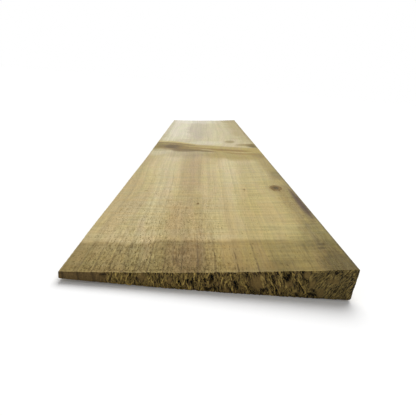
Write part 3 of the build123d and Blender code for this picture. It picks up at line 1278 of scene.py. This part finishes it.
def end_grain_finish(colours):
    """Wood sawn across its fibres: strokes of three leans, coarse and fine, over the colour of the relief,
    with painted shade on the low strokes and partly painted light on the high ones.
    """
    finish = Finish("end_grain")
    place = finish.attribute("grain", "Vector")
    u, _, h = place.parts()
    strokes = []
    for lean in STROKE_LEANS:
        turned = finish.value("ShaderNodeCombineXYZ", {0: h * lean + u, 1: u * -lean + h, 2: lean})
        coarse = finish.noise(turned, (0.8, 3.4, 1), 0).ramp(0.36, 0.64, -0.6, 0.6)
        fine = finish.noise(turned, (0.36, 1.8, 1), 0).ramp(0.36, 0.64, -0.7, 0.7)
        strokes.append(coarse * u.ramp(40, 48, 1, 0.45) + fine)
    by_edge, upright, between = strokes
    wander = finish.noise(place, (3.2, 9, 3.6), 1)
    slanted = finish.blend((wander * 14 + u).ramp(48, 52), between, by_edge)
    torn = finish.attribute("torn")
    stroke = finish.blend((wander * 16 + u).ramp(15, 30, 1, 0), slanted, upright) * (torn * 0.8 + 0.2)
    specks = finish.noise(place, (0.5, 3, 0.5), 2, 0.6)
    sparks = finish.noise(place, (0.3, 2, 0.5), 0).ramp(0.66, 0.76, 0, 0.8)

    # Partly painted light and shade: the strokes that the bump raises are brighter and those it sinks are
    # darker
    factor = stroke.ramp(-1.1, 1.1, 0.45, 1.45) * specks.ramp(0.3, 0.7, 0.88, 1.12)
    colour = finish.attribute("end_ground", "Color").brightened(factor)
    # Painted shade: the lowest strokes go towards the hollow's black, while the highest take the golden
    # colour of torn fibres
    for strength, paint in (
        (stroke.ramp(-0.35, -1.0, 0, 0.85), colours.hollow),
        (stroke.ramp(0.45, 1.05, 0, 0.5) * u.ramp(38, 46, 1, 0.35), colours.torn_fibre),
        (sparks * torn, colours.torn_fibre),
    ):
        colour = finish.mix(strength, colour, paint)
    finish.bump(stroke * 0.5 + specks, 0.6)
    return finish.paint(colour, 0.85, 0.2)


def torn_fibre_finish(colours):
    """Torn fibres: golden at the ends, and as pale as the face where the bandsaw raised them."""
    finish = Finish("torn_fibre")
    shade = finish.attribute("shade")
    at_end = finish.mix(shade, tone(98, 82, 42), colours.torn_fibre)
    on_face = finish.mix(shade - 1.0, tone(126, 110, 70), tone(176, 157, 106))
    colour = finish.mix(shade.math("GREATER_THAN", 1.0), at_end, on_face)
    along = finish.noise(finish.attribute("place", "Vector"), (0.3, 1.5, 0.3), 2)
    return finish.paint(colour.brightened(along.ramp(0.3, 0.7, 0.85, 1.12)), 0.85, 0.15)


# Stage

# The camera stands low in front of the near end and looks down the board
CAMERA_PLACE = (-9.21, -423.32, 83.13)
CAMERA_TURN = (69.84, -5.161, -0.801)
CAMERA_LENS, CAMERA_SENSOR = 29.51, 36.0
CAMERA_NEAREST, CAMERA_FARTHEST = 0.01, 50.0

FLOOR_RADIUS = 9.0
FLOOR_SPOKES, FLOOR_RINGS = 96, 12
FLOOR_WHITE = (0.93, 0.93, 0.93, 1)
FLOOR_LIFT = 0.07
KEY_DIRECTION = (0.13, 0.5, 0.84)
KEY_BREADTH = 46.0
KEY_STRENGTH = 2.6
SKY_STRENGTH = 0.34


def floor_mesh():
    """A round floor: rings of points at radius R t^3, so that it is fine under the board."""
    around = np.arange(FLOOR_SPOKES) * 2 * math.pi / FLOOR_SPOKES
    radius = FLOOR_RADIUS / MM * np.linspace(0, 1, FLOOR_RINGS + 1)[1:, None] ** 3
    rings = points(radius * np.cos(around), radius * np.sin(around), 0)
    numbers = closed(1 + np.arange(FLOOR_RINGS * FLOOR_SPOKES).reshape(FLOOR_RINGS, FLOOR_SPOKES))
    centre = points(numbers[0, :-1], numbers[0, 1:], 0)
    places = np.concatenate([[[0, 0, 0]], rings.reshape(-1, 3)])
    return smooth_mesh("floor", places, cells(numbers)[:, ::-1], centre)


def floor_finish():
    """White paper that keeps a shadow, lifted to white for the camera."""
    finish = Finish("floor_paper")
    finish.inputs["Emission Color"].default_value = (1, 1, 1, 1)
    seen = finish.value("ShaderNodeLightPath", output="Is Camera Ray")
    finish.fill(finish.inputs["Emission Strength"], seen * FLOOR_LIFT)
    return finish.paint(FLOOR_WHITE, 1.0, 0.0)


def white_surroundings():
    """An even sky, white to the camera and in reflections."""
    world = bpy.data.worlds.new("studio")
    bpy.context.scene.world = world
    world.use_nodes = True
    nodes = Nodes(world.node_tree)
    camera_ray, glossy_ray, transmission_ray = (
        nodes.value("ShaderNodeLightPath", output="Is %s Ray" % kind)
        for kind in ("Camera", "Glossy", "Transmission")
    )
    seen = camera_ray.math("MAXIMUM", glossy_ray).math("MAXIMUM", transmission_ray)
    strength = nodes.value("ShaderNodeMapRange", {"Value": seen, "To Min": SKY_STRENGTH, "To Max": 1.0})
    background = nodes.tree.nodes["Background"].inputs
    background["Color"].default_value = (1, 1, 1, 1)
    nodes.fill(background["Strength"], strength)


def key_light():
    """A soft lamp as broad as a window, high behind the board and a little to its right."""
    lamp = bpy.data.lights.new("key", "SUN")
    lamp.angle, lamp.energy = math.radians(KEY_BREADTH), KEY_STRENGTH
    key = bpy.data.objects.new("key", lamp)
    key.rotation_euler = (-Vector(KEY_DIRECTION)).to_track_quat("-Z", "Y").to_euler()
    bpy.context.scene.collection.objects.link(key)


def camera():
    """The photograph's viewpoint, worked out from the board's own corners."""
    lens = bpy.data.cameras.new("camera")
    lens.lens, lens.sensor_width = CAMERA_LENS, CAMERA_SENSOR
    lens.clip_start, lens.clip_end = CAMERA_NEAREST, CAMERA_FARTHEST
    seen = bpy.data.objects.new("camera", lens)
    seen.location = Vector(CAMERA_PLACE) * MM
    seen.rotation_euler = [math.radians(turn) for turn in CAMERA_TURN]
    bpy.context.scene.collection.objects.link(seen)
    bpy.context.scene.camera = seen


# Operators

class BOARD_OT_sawn_board(bpy.types.Operator):
    """Build the board's rough-sawn skin and its two finishes"""

    bl_idname = "board.sawn_board"
    bl_label = "Sawn Board"

    def execute(self, context):
        colours = context.scene.board_colours
        mesh = build_skin(in_millimetres(context.scene.board_shape), colours)
        skin = add_piece("sawn_board", mesh, sawn_face_finish(colours), end_grain_finish(colours))
        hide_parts(NODE)
        return {"FINISHED"}


class BOARD_OT_torn_fibres(bpy.types.Operator):
    """Build the fibres that the saws tore out of the ends and raised on the face"""

    bl_idname = "board.torn_fibres"
    bl_label = "Torn Fibres"

    def execute(self, context):
        mesh = build_fibres(in_millimetres(context.scene.board_shape))
        add_piece("torn_fibres", mesh, torn_fibre_finish(context.scene.board_colours))
        return {"FINISHED"}


class BOARD_OT_stage(bpy.types.Operator):
    """Set the floor, the lights, the white surroundings and the camera"""

    bl_idname = "board.stage"
    bl_label = "Stage"

    def execute(self, context):
        floor = bpy.data.objects.new("floor", floor_mesh())
        context.scene.collection.objects.link(floor)
        floor.data.materials.append(floor_finish())
        white_surroundings()
        key_light()
        camera()
        context.scene.view_settings.view_transform = "Standard"
        return {"FINISHED"}


class BOARD_PT_panel(bpy.types.Panel):
    """The board's sizes and colours, and a button for each step"""

    bl_label = "Feather-edge Board"
    bl_idname = "BOARD_PT_panel"
    bl_space_type = "VIEW_3D"
    bl_region_type = "UI"
    bl_category = "Board"

    def draw(self, context):
        for group in (context.scene.board_shape, context.scene.board_colours):
            box = self.layout.box()
            for name in group.__annotations__:
                box.prop(group, name)
        for step_class in STEPS:
            self.layout.operator(step_class.bl_idname)


STEPS = (BOARD_OT_sawn_board, BOARD_OT_torn_fibres, BOARD_OT_stage)
CLASSES = (BoardShape, WoodColours, *STEPS, BOARD_PT_panel)


def register():
    for each in CLASSES:
        bpy.utils.register_class(each)
    bpy.types.Scene.board_shape = bpy.props.PointerProperty(type=BoardShape)
    bpy.types.Scene.board_colours = bpy.props.PointerProperty(type=WoodColours)


def unregister():
    del bpy.types.Scene.board_colours
    del bpy.types.Scene.board_shape
    for each in reversed(CLASSES):
        bpy.utils.unregister_class(each)


def main():
    register()
    bpy.ops.board.sawn_board()
    bpy.ops.board.torn_fibres()
    bpy.ops.board.stage()


if __name__ == "__main__":
    main()
